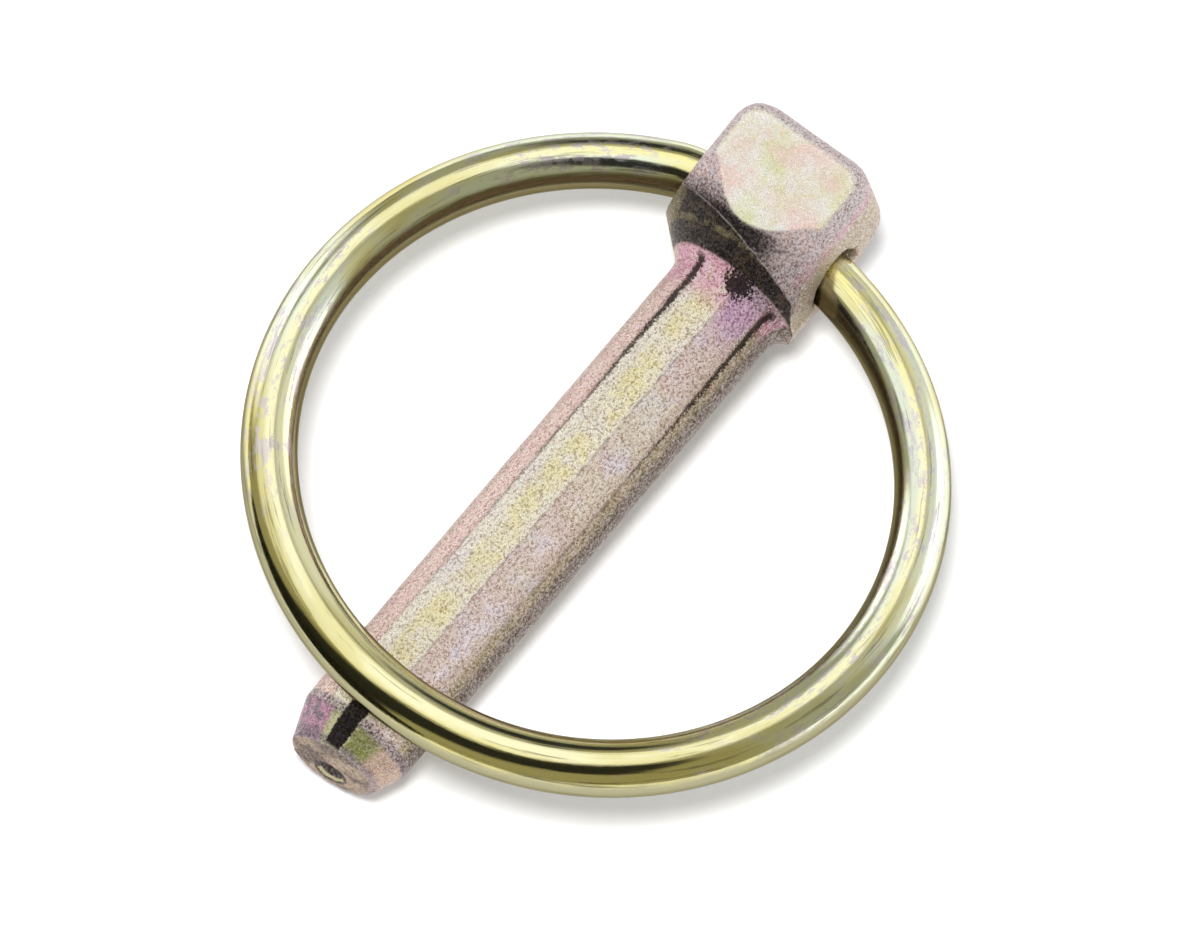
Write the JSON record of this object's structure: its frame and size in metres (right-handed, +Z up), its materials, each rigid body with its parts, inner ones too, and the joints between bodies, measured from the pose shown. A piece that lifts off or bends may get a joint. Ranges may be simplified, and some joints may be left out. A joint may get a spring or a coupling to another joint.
{
  "type": "linch pin",
  "caption": "Forged steel linch pin: a round shank with a chamfered point, a cross-bored block head and a sprung wire ring that snaps over the shank.",
  "frame": {"origin": "centre of the shank where its straight part starts, at the end of the fillet under the head", "axes": "+X runs towards the point, and the shank's own axis dips below it by the angle at which the pin lies; +Y is along the cross bore; +Z is up, away from the surface it lies on"},
  "size_m": [0.0706, 0.0625, 0.0187],
  "materials": {
    "pin_zinc": "forged steel, yellow-passivated zinc plate, satin and finely grained",
    "ring_zinc": "drawn spring wire, yellow-passivated zinc plate, shiny"
  },
  "bodies": {
    "pin": {"pin": "pin_zinc"},
    "ring": {"ring": "ring_zinc"}
  },
  "joints": [
    {"name": "ring_swing", "type": "hinge", "parent": "pin", "child": "ring", "pos_m": [-0.00838, -0.0013, 0.00054], "axis": [0, -1, 0], "range_deg": [0, 343]}
  ]
}
